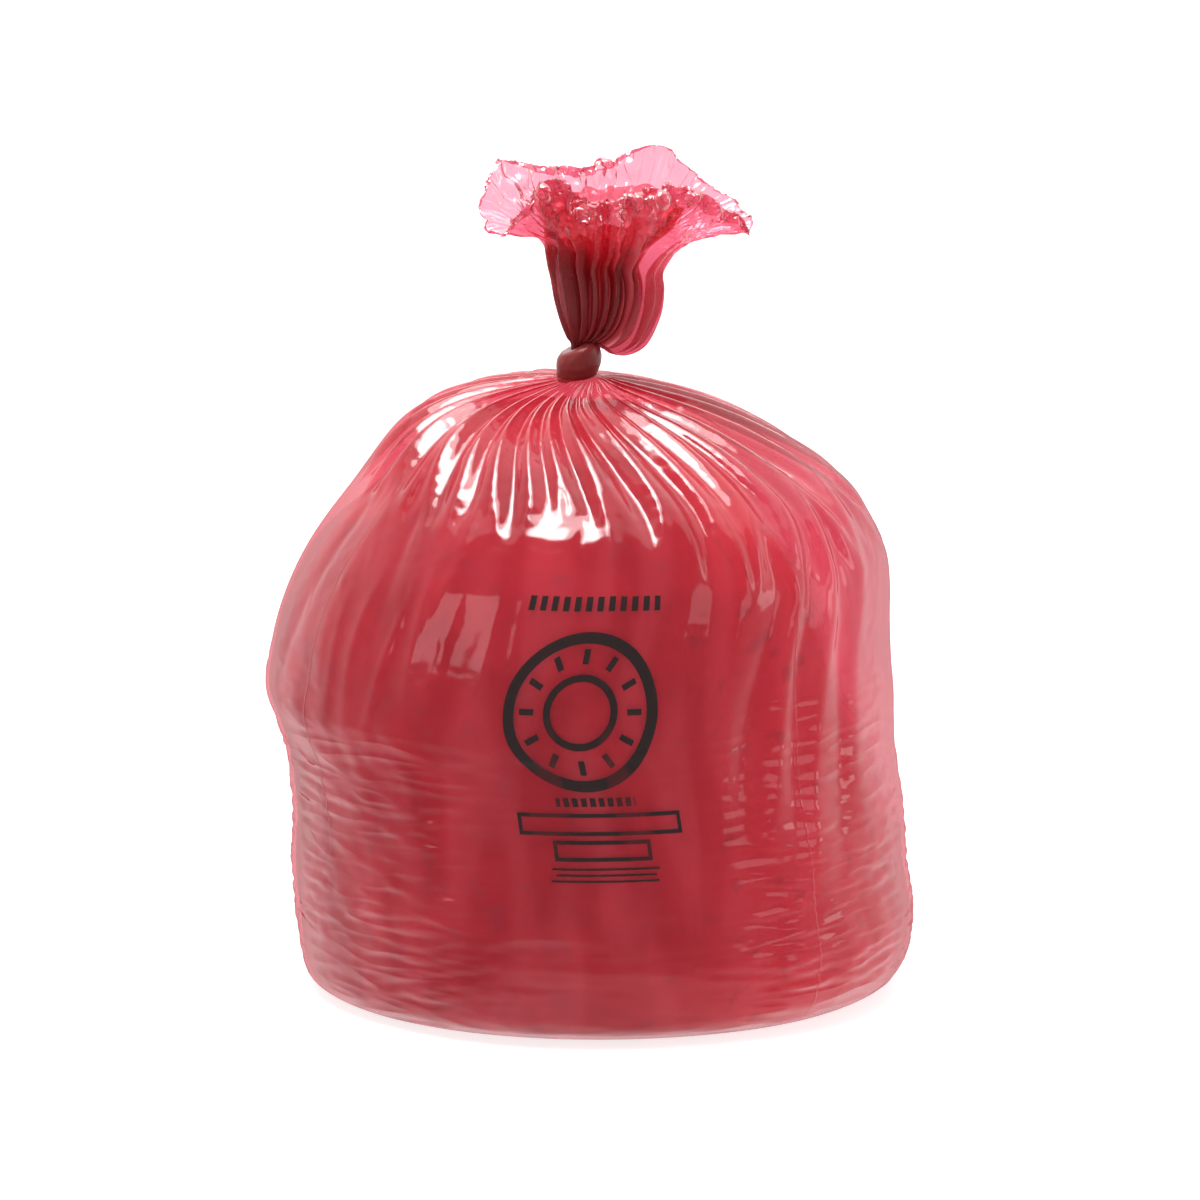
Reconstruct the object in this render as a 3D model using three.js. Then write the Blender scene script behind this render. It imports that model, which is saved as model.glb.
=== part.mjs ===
// A knotted waste bag, filled and standing on the floor.
// Two pieces: the film bag (one tube of film: floor, sides, shoulders, gathered neck, overhand knot and
// the loose mouth above the knot) and the waste inside it. Millimetres, +Z up, the front towards -Y.
// The film is drawn thicker than it is, so that it is a closed solid. The neck keeps a narrow way
// through, as a real gathered tube of film does, which joins the inside to the open mouth.
import * as THREE from "three";

// Driving dimensions
const SEGMENTS = 84; // facets round the bag
const PLEATS = 14; // folds that fan out from the neck
const WALL = 2.6; // drawn film thickness
const GAP = 1.2; // between the film and the waste
const NECK_WAY = 2.2; // radius of the way left through the neck and the knot
const KNOT_TOP = 487;
const KNOT_FOOT = 459;
const FOOT_DEPTH = 0.96; // depth over width, of the filled part

// Outer outline of the filled part, from the floor up: height, left, right, depth of the pleats
const BODY = [
  [0, -198, 213, 0],
  [3, -208, 223, 0],
  [12, -217, 234, 0],
  [30, -223, 240, 0],
  [60, -231, 242, 0],
  [95, -237, 237, 0],
  [135, -237, 234, 0],
  [180, -237, 227, 0],
  [228, -243, 225, 0],
  [252, -240, 223, 0],
  [280, -234, 222, 0],
  [308, -224, 222, 0],
  [332, -212, 219, 0.3],
  [352, -199, 210, 0.7],
  [372, -184, 198, 1.2],
  [392, -168, 177, 1.9],
  [411, -152, 151, 2.7],
  [427, -136, 126, 3.5],
  [440, -115, 97, 4.2],
  [450, -86, 66, 4.2],
  [456, -55, 38, 3],
];

// Neck, knot and mouth, outer side, from the neck up:
// height, left, right, half depth, lift of the edge, depth of the ruffles, slant of the knot's band
const TOP = [
  [KNOT_FOOT, -17, 5, 11, 0, 0.8, 0],
  [462, -22, 8, 14, 0, 0.4, 0.1],
  [467, -25, 10, 17, 0, 0, 0.16],
  [475, -23, 12, 18, 0, 0, 0.2],
  [481, -18, 11, 15.5, 0, 0.3, 0.14],
  [KNOT_TOP, -14, 9, 11, 0, 0.8, 0],
  [493, -20, 27, 15, 0, 1.4, 0],
  [508, -27, 46, 24, 0, 2.4, 0],
  [528, -33, 56, 33, 0, 3.2, 0],
  [548, -38, 63, 42, 0, 4.2, 0],
  [563, -48, 76, 52, 0, 6, 0],
  [571, -74, 106, 64, 0.3, 8, 0],
  [582, -88, 116, 74, 0.6, 9.5, 0],
  [600, -90, 112, 77, 1, 10.5, 0],
  [613, -86, 102, 74, 1, 10.5, 0],
];
// The inner side of the mouth, from its edge down to the knot
const MOUTH = [
  [611, -82, 98, 70, 1, 10.5, 0],
  [600, -82, 102, 69.5, 1, 10.5, 0],
  [586, -78, 103, 64, 0.6, 9.5, 0],
  [576, -65, 91, 56.5, 0.3, 8, 0],
  [567, -44, 70, 47, 0, 6, 0],
  [549, -33.5, 58, 37.5, 0, 4.2, 0],
  [528, -28.5, 51, 28.5, 0, 3.2, 0],
  [508, -22.5, 40, 19.5, 0, 2.4, 0],
  [494, -13, 17, 10, 0, 1.4, 0],
];

// A ring of points. lift raises the edge of the mouth where the film stands up, at the right and the left.
// ruffle waves the ring in and out, and slant tips it down to the left.
function ring(z, left, right, depth, lift = 0, ruffle = 0, slant = 0) {
  const points = [];
  for (let i = 0; i < SEGMENTS; i++) {
    const a = (2 * Math.PI * i) / SEGMENTS;
    const c = Math.cos(a);
    const s = Math.sin(a);
    const out = ruffle * (0.65 * Math.cos(9 * a + 0.7 + 0.8 * Math.sin(2 * a)) + 0.35 * Math.cos(5 * a + 2.1));
    const x = (left + right) / 2 + ((right - left) / 2 + out) * c;
    const y = (depth + out) * s;
    const up =
      lift * (8 * Math.cos(2 * a + 0.4) + 27 * Math.exp(-((wrap(a - 0.95) / 0.55) ** 2)) + 2.5 * Math.cos(7 * a + 1));
    points.push([x, y, z + up + slant * (x + 6)]);
  }
  return points;
}

function wrap(a) {
  return Math.atan2(Math.sin(a), Math.cos(a));
}

// Rings of the filled part, moved in by a distance from its outline, with the pleats folded in and out
function bodyRings(outline) {
  const folded = inset(outline, 1);
  return outline.map(([z, l, r, depth], k) => {
    const flat = ring(z, l, r, ((r - l) / 2) * FOOT_DEPTH);
    const [zi, li, ri] = folded[k];
    const moved = ring(zi, li, ri, ((ri - li) / 2) * FOOT_DEPTH);
    return flat.map((p, i) => {
      const a = (2 * Math.PI * i) / SEGMENTS;
      const fold = -depth * (0.7 * Math.cos(PLEATS * a + 0.9 * Math.sin(3 * a)) + 0.3 * Math.cos(9 * a + 1.3));
      return p.map((v, j) => v + fold * (moved[i][j] - v));
    });
  });
}

// Closes a stack of rings with a point at each end
function skin(first, rings, last) {
  const places = [...first];
  for (const r of rings) for (const p of r) places.push(...p);
  places.push(...last);
  const index = [];
  const at = (k, i) => 1 + k * SEGMENTS + (i % SEGMENTS);
  const end = 1 + rings.length * SEGMENTS;
  for (let i = 0; i < SEGMENTS; i++) {
    index.push(0, at(0, i + 1), at(0, i));
    for (let k = 0; k + 1 < rings.length; k++) {
      index.push(at(k, i), at(k, i + 1), at(k + 1, i));
      index.push(at(k, i + 1), at(k + 1, i + 1), at(k + 1, i));
    }
    index.push(end, at(rings.length - 1, i), at(rings.length - 1, i + 1));
  }
  const g = new THREE.BufferGeometry();
  g.setAttribute("position", new THREE.Float32BufferAttribute(places, 3));
  g.setIndex(index);
  return g;
}

// The body outline moved in by a distance, along its own normal in the upright plane
function inset(outline, by) {
  const moved = [];
  for (let i = 0; i < outline.length; i++) {
    const a = outline[Math.max(i - 1, 0)];
    const b = outline[Math.min(i + 1, outline.length - 1)];
    const side = (k) => {
      const dz = b[0] - a[0];
      const dx = Math.abs(b[k]) - Math.abs(a[k]);
      const n = Math.hypot(dz, dx);
      return [dz / n, -dx / n];
    };
    const [nl, zl] = side(1);
    const [nr, zr] = side(2);
    moved.push([outline[i][0] - (by * (zl + zr)) / 2, outline[i][1] + by * nl, outline[i][2] - by * nr, outline[i][3]]);
  }
  return moved;
}

// Lowest ring of an inset outline put flat at a height
function floored(outline, z) {
  const kept = outline.filter((p) => p[0] > z + 2);
  const low = kept[0];
  return [[z, low[1] + 9, low[2] - 9, 0], ...kept];
}

const outer = [...bodyRings(BODY), ...TOP.map((row) => ring(...row))];
const innerBody = floored(inset(BODY, WALL), WALL).filter((p) => p[0] < 448);
const way = (z, x) => ring(z, x - NECK_WAY, x + NECK_WAY, NECK_WAY);
const inner = [
  ...MOUTH.map((row) => ring(...row)),
  way(KNOT_TOP, -3),
  way(473, -6),
  way(KNOT_FOOT - 1, -6),
  ...bodyRings(innerBody).reverse(),
];
const bagGeometry = skin([7.5, 0, 0], [...outer, ...inner], [7.5, 0, WALL]);

// The waste: it fills the bag from the floor to the shoulders, and leaves air under the right shoulder
const wasteOutline = floored(inset(BODY, WALL + GAP), WALL + GAP)
  .filter((p) => p[0] < 380)
  .map(([z, l, r]) => {
    const k = Math.max(0, (z - 190) / 190);
    return [z, l + 10 * k * k, r - 34 * k * k, 0];
  });
const top = wasteOutline[wasteOutline.length - 1];
wasteOutline.push([top[0] + 17, top[1] + 42, top[2] - 44, 0], [top[0] + 27, top[1] + 95, top[2] - 96, 0]);
const wasteGeometry = skin([7.5, 0, WALL + GAP], bodyRings(wasteOutline), [-10, 0, top[0] + 30]);

// The origin is on the floor, at the middle of the bag's box
bagGeometry.computeBoundingBox();
const box = bagGeometry.boundingBox;
const middle = [(box.min.x + box.max.x) / 2, (box.min.y + box.max.y) / 2];
bagGeometry.translate(-middle[0], -middle[1], 0);
wasteGeometry.translate(-middle[0], -middle[1], 0);

const film = new THREE.MeshStandardMaterial({ color: 0xb8404a, roughness: 0.22, metalness: 0 });
const fill = new THREE.MeshStandardMaterial({ color: 0x8c3a3e, roughness: 0.9, metalness: 0 });

const bag = new THREE.Mesh(bagGeometry, film);
bag.name = "film_bag";
const waste = new THREE.Mesh(wasteGeometry, fill);
waste.name = "waste_contents";

const model = new THREE.Group();
model.add(bag, waste);
export default model;
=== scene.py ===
# A knotted red waste bag: the looks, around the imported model.
import math

import bpy
import numpy as np
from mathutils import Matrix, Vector


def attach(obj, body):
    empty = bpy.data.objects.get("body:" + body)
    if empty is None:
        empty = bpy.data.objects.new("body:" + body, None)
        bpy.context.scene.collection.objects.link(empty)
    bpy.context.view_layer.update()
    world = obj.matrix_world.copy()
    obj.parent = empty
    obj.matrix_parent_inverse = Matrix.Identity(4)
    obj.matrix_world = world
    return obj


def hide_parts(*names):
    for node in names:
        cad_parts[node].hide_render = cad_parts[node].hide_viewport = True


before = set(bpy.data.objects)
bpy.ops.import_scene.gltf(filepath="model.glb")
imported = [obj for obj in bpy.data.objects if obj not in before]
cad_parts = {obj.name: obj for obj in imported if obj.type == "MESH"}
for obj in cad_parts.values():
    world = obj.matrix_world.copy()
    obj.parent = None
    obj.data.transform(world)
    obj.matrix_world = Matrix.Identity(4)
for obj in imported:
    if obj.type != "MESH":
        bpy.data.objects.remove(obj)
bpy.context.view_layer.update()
MM = 0.001

# ---------------------------------------------------------------- camera
SCALE = 0.752          # mm to a photograph pixel, on the bag's axis
ELEV = math.radians(12.0)
DIST = 9.0             # m, camera to the bag's axis
AXIS_PX, FOOT_PX = 590.0, 979.0   # where the bag's axis meets the floor in the 1200 px frame

cam_data = bpy.data.cameras.new("camera")
cam = bpy.data.objects.new("camera", cam_data)
bpy.context.scene.collection.objects.link(cam)
bpy.context.scene.camera = cam
cam_data.sensor_width = 36.0
cam_data.lens = 36.0 * DIST / (1200 * SCALE * MM)
view_dir = Vector((0, math.cos(ELEV), -math.sin(ELEV)))
up_dir = Vector((0, math.sin(ELEV), math.cos(ELEV)))
# the world point that shows at the picture's middle
target = Vector(((600 - AXIS_PX) * SCALE * MM, 0, 0)) + up_dir * ((FOOT_PX - 600) * SCALE * MM)
cam.location = target - view_dir * DIST
cam.rotation_mode = "QUATERNION"
cam.rotation_quaternion = view_dir.to_track_quat("-Z", "Y")
cam_data.clip_start, cam_data.clip_end = 0.1, 60

# ---------------------------------------------------------------- number helpers
def smooth(a, b, x):
    t = np.clip((np.asarray(x, float) - a) / (b - a), 0, 1)
    return t * t * (3 - 2 * t)


def gauss(x, w):
    return np.exp(-((x / w) ** 2))


def wrap(a):
    return (np.asarray(a) + math.pi) % (2 * math.pi) - math.pi


def spline(stations, t):
    """Catmull-Rom through rows of numbers, at t from 0 to len - 1."""
    p = np.asarray(stations, float)
    t = np.clip(np.asarray(t, float), 0, len(p) - 1 - 1e-9)
    i = t.astype(int)
    f = (t - i)[..., None]
    a, b, c, d = (p[np.clip(i + k, 0, len(p) - 1)] for k in (-1, 0, 1, 2))
    return b + 0.5 * f * (c - a + f * (2 * a - 5 * b + 4 * c - d + f * (3 * (b - c) + d - a)))


def lattice(seed):
    r = np.random.RandomState(seed)
    g = r.normal(size=(4096, 3))
    return g / np.linalg.norm(g, axis=1, keepdims=True), r.permutation(4096)


def perlin(p, seed=0):
    """Gradient noise of points (..., 3), about -1 to 1."""
    g, perm = lattice(seed)
    i = np.floor(p).astype(np.int64)
    f = p - i
    u = f * f * f * (f * (f * 6 - 15) + 10)

    def corner(a, b, c):
        h = perm[(i[..., 0] + a) & 4095]
        h = perm[(h + i[..., 1] + b) & 4095]
        h = perm[(h + i[..., 2] + c) & 4095]
        return ((f - np.array([a, b, c])) * g[h]).sum(-1)

    x0 = [corner(0, b, c) * (1 - u[..., 0]) + corner(1, b, c) * u[..., 0] for b in (0, 1) for c in (0, 1)]
    y0 = [x0[c] * (1 - u[..., 1]) + x0[2 + c] * u[..., 1] for c in (0, 1)]
    return 1.6 * (y0[0] * (1 - u[..., 2]) + y0[1] * u[..., 2])


def normals_of(P):
    """Unit normals of a grid of points, rows up and columns round, closed round, pointing out."""
    a = np.roll(P, -1, 1) - np.roll(P, 1, 1)
    b = np.empty_like(P)
    b[1:-1] = P[2:] - P[:-2]
    b[0], b[-1] = P[1] - P[0], P[-1] - P[-2]
    n = np.cross(a, b)
    return n / np.maximum(np.linalg.norm(n, axis=2, keepdims=True), 1e-12)


def grid_mesh(name, P, closed_low=False, attributes=None, uv=None):
    """A mesh from a grid of points in metres, closed round, with a point at the low end where closed_low."""
    S, N = P.shape[:2]
    verts = P.reshape(-1, 3)
    r = np.arange(S - 1)[:, None] * N
    j = np.arange(N)[None, :]
    k = (np.arange(N)[None, :] + 1) % N
    quads = np.stack([r + j, r + k, r + N + k, r + N + j], -1).reshape(-1, 4)
    me = bpy.data.meshes.new(name)
    loops = quads.reshape(-1)
    starts = np.arange(len(quads)) * 4
    totals = np.full(len(quads), 4)
    if closed_low:
        verts = np.concatenate([verts, P[0].mean(0, keepdims=True)])
        fan = np.stack([np.full(N, S * N), k[0], j[0]], -1).reshape(-1)
        starts = np.concatenate([starts, len(loops) + np.arange(N) * 3])
        totals = np.concatenate([totals, np.full(N, 3)])
        loops = np.concatenate([loops, fan])
    me.vertices.add(len(verts))
    me.vertices.foreach_set("co", verts.astype(np.float32).ravel())
    me.loops.add(len(loops))
    me.loops.foreach_set("vertex_index", loops.astype(np.int32))
    me.polygons.add(len(starts))
    me.polygons.foreach_set("loop_start", starts.astype(np.int32))
    me.polygons.foreach_set("loop_total", totals.astype(np.int32))
    me.update(calc_edges=True)
    me.polygons.foreach_set("use_smooth", np.ones(len(starts), bool))
    if uv is not None:
        U, V, period = uv
        layer = me.uv_layers.new(name="film")
        row, col = loops // N, loops % N
        tip = loops >= S * N
        row, col = np.where(tip, 0, row), np.where(tip, 0, col)
        uu, vv = U[row, col].copy(), V[row, col].copy()
        # the last column's far side wraps round
        first = np.arange(len(quads)) * 4
        last = (np.arange(len(quads)) % N) == N - 1
        for corner in (1, 2):
            uu[first[last] + corner] += period
        layer.data.foreach_set("uv", np.stack([uu, vv], 1).astype(np.float32).ravel())
    for key, values in (attributes or {}).items():
        a = me.attributes.new(key, "FLOAT", "POINT")
        v = values.reshape(-1)
        if closed_low:
            v = np.concatenate([v, [values[0].mean()]])
        a.data.foreach_set("value", v.astype(np.float32))
    ob = bpy.data.objects.new(name, me)
    bpy.context.scene.collection.objects.link(ob)
    return ob


# ---------------------------------------------------------------- the filled body's own outline
# Stations up the side: height, left, right, front, back (mm), close to the outline of the CAD piece
BODY = np.array([
    [0, -188, 203, -184, 192],
    [3, -202, 217, -198, 203],
    [12, -213, 230, -212, 214],
    [30, -218, 239, -221, 221],
    [60, -221, 242, -228, 226],
    [95, -224, 237, -229, 227],
    [135, -223, 234, -227, 226],
    [180, -228, 227, -224, 222],
    [205, -236, 225.5, -222, 223],
    [228, -243, 225, -222, 224],
    [252, -240, 223, -221, 223],
    [280, -234, 222, -219, 219],
    [308, -224, 222, -214, 214],
    [332, -212, 219, -207, 206],
    [352, -199, 210, -196, 195],
    [372, -184, 198, -183, 181],
    [392, -168, 177, -165, 164],
    [411, -152, 146, -145, 146],
    [427, -136, 114, -125, 127],
    [440, -115, 80, -102, 103],
    [450, -86, 46, -74, 75],
    [456, -55, 25, -46, 47],
    [460, -26, 13, -19, 19],
    [463, -16, 4, -10, 10],
    [468, -14, 2, -8, 8],
], float)
X0 = -0.5  # the CAD's box was centred by this much


def along(stations):
    """Arc length up the mean side of the outline."""
    r = (stations[:, 2] - stations[:, 1]) / 2
    return np.concatenate([[0], np.cumsum(np.hypot(np.diff(r), np.diff(stations[:, 0])))])


_dense_t = np.linspace(0, len(BODY) - 1, 2001)
_dense = spline(BODY, _dense_t)
_dense_s = along(_dense)
SIDE = _dense_s[-1]                    # mm of film from the footprint's edge to the knot


def side_at(s):
    """Station numbers at arc length s up the side."""
    t = np.interp(s, _dense_s, _dense_t)
    return spline(BODY, t)


def body_points(phi, s, floor_rows=0):
    """phi from the front (-Y), growing towards +X; s is mm up the side, negative under the bag."""
    under = np.clip(1 + s / 203.0, 0.004, 1)      # the share of the footprint, for s below 0
    st = side_at(np.maximum(s, 0))
    z, xl, xr, yf, yb = (st[..., k] for k in range(5))
    sx, cy = np.sin(phi), np.cos(phi)
    cx, ax = (xl + xr) / 2, (xr - xl) / 2
    # a filled bag isn't quite round: slow bulges that die out at the neck
    lump = smooth(0, 60, s) * (1 - smooth(SIDE - 260, SIDE - 90, s))
    wob = 1 + lump * (0.006 * np.cos(3 * phi + 0.6 + s / 170) * (1 - sx ** 2) + 0.005 * np.cos(5 * phi + 2.0 - s / 120) * (1 - sx ** 4))
    x = cx + ax * sx * wob
    y = np.where(cy > 0, yf * cy, -yb * cy) * wob
    x = np.where(s < 0, cx + (x - cx) * under, x)
    y = np.where(s < 0, y * under, y)
    return np.stack([x - X0, y, z], -1)


# ---------------------------------------------------------------- a film relaxed over the body
def edge_sets(P, B, G):
    """Rest lengths of the four kinds of edge, from the base B and the growth G = (round, up)."""
    gr, gu = G
    L = {}
    d = np.linalg.norm(np.roll(B, -1, 1) - B, axis=2)
    L["r"] = d * (1 + (gr + np.roll(gr, -1, 1)) / 2)
    d = np.linalg.norm(B[1:] - B[:-1], axis=2)
    L["u"] = d * (1 + (gu[1:] + gu[:-1]) / 2)
    for key, k in (("a", -1), ("b", 1)):
        e = np.roll(B[1:], k, 1) - B[:-1]
        d = np.linalg.norm(e, axis=2)
        lr = np.linalg.norm(np.roll(B, k, 1)[1:] - B[1:], axis=2)
        share = np.clip((lr / np.maximum(d, 1e-9)) ** 2, 0, 1)
        g1, g2 = (gr[1:] + gr[:-1]) / 2, (gu[1:] + gu[:-1]) / 2
        L[key] = d * (1 + share * g1 + (1 - share) * g2)
    return L


def pull(a, b, L, k):
    d = b - a
    n = np.sqrt((d * d).sum(-1))
    c = (0.5 * k * (n - L) / np.maximum(n, 1e-9))[..., None] * d
    return a + c, b - c


def second(D, axis):
    """Second difference along the rows (0, open) or round the columns (1, closed)."""
    if axis:
        return np.roll(D, -1, 1) + np.roll(D, 1, 1) - 2 * D
    out = np.zeros_like(D)
    out[1:-1] = D[2:] + D[:-2] - 2 * D[1:-1]
    return out


def relax(P, B, n, L, steps, bend_r, bend_u, hold=0.02, slide=0.004, clear=1.0, stiff=0.9, pin=None):
    """P moves to keep its rest lengths over the base B, whose normals are n. It can't go in past clear.
    bend_r and bend_u are how hard it is to bend round the bag and up it."""
    full = lambda v: np.broadcast_to(np.asarray(v, np.float32), P.shape[:2])[..., None]
    hold, clear, bend_r, bend_u = full(hold), full(clear), full(bend_r), full(bend_u)
    for _ in range(steps):
        for par in (0, 1):
            if par == 0:
                P[:, 0::2], P[:, 1::2] = pull(P[:, 0::2], P[:, 1::2], L["r"][:, 0::2], stiff)
            else:
                a, b = pull(P[:, 1::2], np.roll(P[:, 0::2], -1, 1), L["r"][:, 1::2], stiff)
                P[:, 1::2] = a
                P[:, 0::2] = np.roll(b, 1, 1)
            m = (P.shape[0] - par) // 2
            lo = slice(par, par + 2 * m - 1, 2)
            hi = slice(par + 1, par + 2 * m, 2)
            P[lo], P[hi] = pull(P[lo], P[hi], L["u"][lo], stiff)
            a, b = pull(P[lo], np.roll(P[hi], -1, 1), L["a"][lo], stiff * 0.5)
            P[lo] = a
            P[hi] = np.roll(b, 1, 1)
            a, b = pull(P[lo], np.roll(P[hi], 1, 1), L["b"][lo], stiff * 0.5)
            P[lo] = a
            P[hi] = np.roll(b, -1, 1)
        D = P - B
        P -= bend_r * second(second(D, 1), 1) + bend_u * second(second(D, 0), 0)
        D = P - B
        h = (D * n).sum(-1, keepdims=True)
        P -= hold * h * n + slide * (D - h * n)
        h = ((P - B) * n).sum(-1, keepdims=True)
        P += np.maximum(-clear - h, 0) * n
        if pin is not None:
            P[pin] = B[pin]
    return P


def enlarge(D, S, N, rows, cols):
    """Displacements D on a coarse grid, to S rows at `rows` and N columns at `cols` (in coarse indices)."""
    i = np.clip(rows, 0, D.shape[0] - 1 - 1e-9)
    i0 = i.astype(int)
    f = (i - i0)[:, None, None]
    R = D[i0] * (1 - f) + D[i0 + 1] * f
    j0 = np.floor(cols).astype(int)
    g = (cols - j0)[None, :, None]
    return R[:, j0 % D.shape[1]] * (1 - g) + R[:, (j0 + 1) % D.shape[1]] * g


# Pleats that fan out from the knot: azimuth at the knot and at the lower end (degrees, 0 in front,
# growing to the right), reach down from the knot (mm), height (mm), half width at the lower end (degrees)
PLEATS = [
    (-99, -104, 190, 4.0, 9), (-84, -91, 300, 4.5, 7), (-73, -79, 170, 4.0, 6), (-63, -70, 280, 5.5, 8),
    (-52, -60, 190, 4.0, 5), (-44, -52, 340, 5.5, 7), (-34, -42, 170, 4.5, 6), (-26, -29, 250, 6.0, 8),
    (-15, -17, 175, 5.0, 6), (-7, -8, 205, 4.0, 5), (2, 4, 400, 4.0, 5), (10, 12, 120, 4.0, 5),
    (18, 16, 440, 5.0, 6), (33, 25, 300, 4.0, 5), (45, 32, 460, 6.0, 7), (55, 42, 330, 4.5, 5),
    (64, 52, 480, 5.5, 7), (76, 70, 240, 5.0, 8), (90, 87, 170, 4.5, 7), (103, 104, 300, 5.0, 8),
    (121, 117, 200, 4.5, 8), (134, 134, 330, 5.5, 8), (152, 150, 190, 4.5, 7), (165, 165, 280, 5.0, 8),
    (183, 181, 190, 4.5, 7), (196, 197, 350, 5.5, 8), (214, 213, 210, 4.5, 7), (227, 228, 300, 5.0, 8),
    (245, 243, 190, 4.5, 7),
]


def body_grid(N, UP, UNDER):
    u = np.arange(N) / N - 0.5
    phi = 2 * math.pi * u - 0.25 * np.sin(2 * math.pi * u)
    s = np.concatenate([-203 * (1 - (np.arange(UNDER) + 0.05) / UNDER), np.linspace(0, SIDE, UP)])
    return phi, s, *np.meshgrid(s, phi, indexing="ij")


def fan(S, P):
    """Height of the pleats over the body."""
    out = np.zeros_like(S)
    d = SIDE - S
    r = np.interp(S, [SIDE - 330, SIDE - 90, SIDE - 45, SIDE - 12, SIDE], [205, 130, 85, 40, 9])
    for top, low, reach, high, half in PLEATS:
        mid = np.radians(top + (low - top) * smooth(10, 260, d))
        w = np.radians(half) * (0.72 + 0.28 * smooth(20, 200, d))
        a = high * (1 - smooth(0.4 * reach, reach, d)) * smooth(-10, 26, d)
        a = np.minimum(a, 0.42 * w * r)
        t = np.abs(wrap(P - mid)) / w
        out = np.maximum(out, a * np.clip(1 - np.sqrt(t * t + 0.02), 0, 1))
    return out


def pleat_reach(q, P):
    """The pleats run further down the right of the front."""
    deg = np.degrees(wrap(P))
    return 1 + 0.9 * smooth(2, 30, deg) * (1 - smooth(75, 100, deg)) + 0.35 * perlin(q * [1, 1, 0.15] / 70, 7)


def body_growth(S, P):
    z = side_at(np.maximum(S, 0))[..., 0]
    d = SIDE - S
    q = np.stack([242 * np.sin(P), -242 * np.cos(P), S], -1)
    patch = np.clip(0.5 + 0.9 * perlin(q / [90, 90, 40], 3), 0, 1.3)
    patch2 = np.clip(0.5 + 0.9 * perlin(q / [55, 55, 80], 4), 0, 1.3)
    # slack up the side: the film slumps under the waste and folds level
    side = 0.30 + 0.70 * smooth(0.25, 0.8, np.abs(np.sin(P)))
    low = smooth(2, 26, z) * (1 - smooth(130, 225, z))
    deg = np.degrees(wrap(P))
    left = gauss(deg + 66, 24) * smooth(50, 90, z) * (1 - smooth(205, 250, z))
    rite = gauss(deg - 62, 22) * smooth(30, 60, z) * (1 - smooth(130, 175, z))
    base = gauss(z - 32, 30) * smooth(4, 14, z)
    up = 0.050 * low * side * (0.10 + 1.1 * patch) + 0.055 * left * patch + 0.02 * rite + 0.02 * base * patch2
    # slack round the bag: the tube is as wide at the neck as at the waist
    rnd = 0.19 * (1 - smooth(50, 235, d)) + 0.06 * (1 - smooth(90, 240, d / pleat_reach(q, P))) * (0.4 + patch2)
    rnd = rnd + 0.06 * left * patch2 + 0.05 * rite * patch2 + 0.015 * base - 0.004 * low * (1 - left) * (1 - rite)
    up = up - 0.004 * (1 - smooth(40, 300, d))
    return np.where(S < 0, 0, rnd), np.where(S < 0, 0, up)


def build_body():
    levels = [(120, 50, 3, 300), (240, 99, 5, 260), (480, 196, 8, 300)]
    D = None
    for n, (N, UP, UNDER, steps) in enumerate(levels):
        phi, s, S, P = body_grid(N, UP, UNDER)
        B = body_points(P, S)
        nrm = normals_of(B)
        nrm[:UNDER] = [0, 0, -1]
        z = side_at(np.maximum(S, 0))[..., 0]
        if D is None:
            D = nrm * (fan(S, P) + 0.5 * perlin(B / [60, 60, 12.0], 11) * (S > 0))[..., None]
        else:
            rows = np.interp(s, prev_s, np.arange(len(prev_s)))
            cols = np.interp(np.arange(N) / N, np.arange(prev_n + 1) / prev_n, np.arange(prev_n + 1))
            D = enlarge(D, len(s), N, rows, cols)
            q = np.stack([242 * np.sin(P), -242 * np.cos(P), S + 75 * np.abs(np.sin(P)) ** 2], -1)
            D += nrm * (0.8 * perlin(q / [30.0, 30.0, 7.0], 20 + n) * (S > 0) * (1 - smooth(230, 300, z)))[..., None]
        # the coarse folds take part of the slack, and the fine ones the rest
        part = (0.55, 0.8, 1.0)[n]
        share = part + (1 - part) * (1 - smooth(60, 220, SIDE - S))
        gr, gu = body_growth(S, P)
        L = edge_sets(B, B, (gr * share, gu * share))
        d = SIDE - S
        q = np.stack([242 * np.sin(P), -242 * np.cos(P), S], -1)
        near = 1 - smooth(80, 270, d / pleat_reach(q, P))
        hold = np.exp(math.log(0.016) * (1 - near) + math.log(0.008 / 7 ** n) * near)
        clear = 1.2 + 6.0 * (1 - smooth(60, 230, d))
        low = 1 - smooth(190, 300, z)
        bend_r = 0.008 + 0.018 * low
        bend_u = 0.030 - 0.0275 * low
        pinned = (S < -2) | (d < 2)
        f = np.float32
        Q = relax((B + D).astype(f), B.astype(f), nrm.astype(f), {k: v.astype(f) for k, v in L.items()}, steps,
                  bend_r, bend_u, hold=hold, slide=0.01, clear=clear, pin=pinned)
        D = Q - B
        prev_s, prev_n = s, N
    Q = np.asarray(Q, float)
    n = normals_of(Q)
    n[:UNDER] = [0, 0, -1]
    return phi, s, S, P, B, nrm, Q + n * (soft_folds(S, P) + creases(S, P))[..., None]


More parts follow.
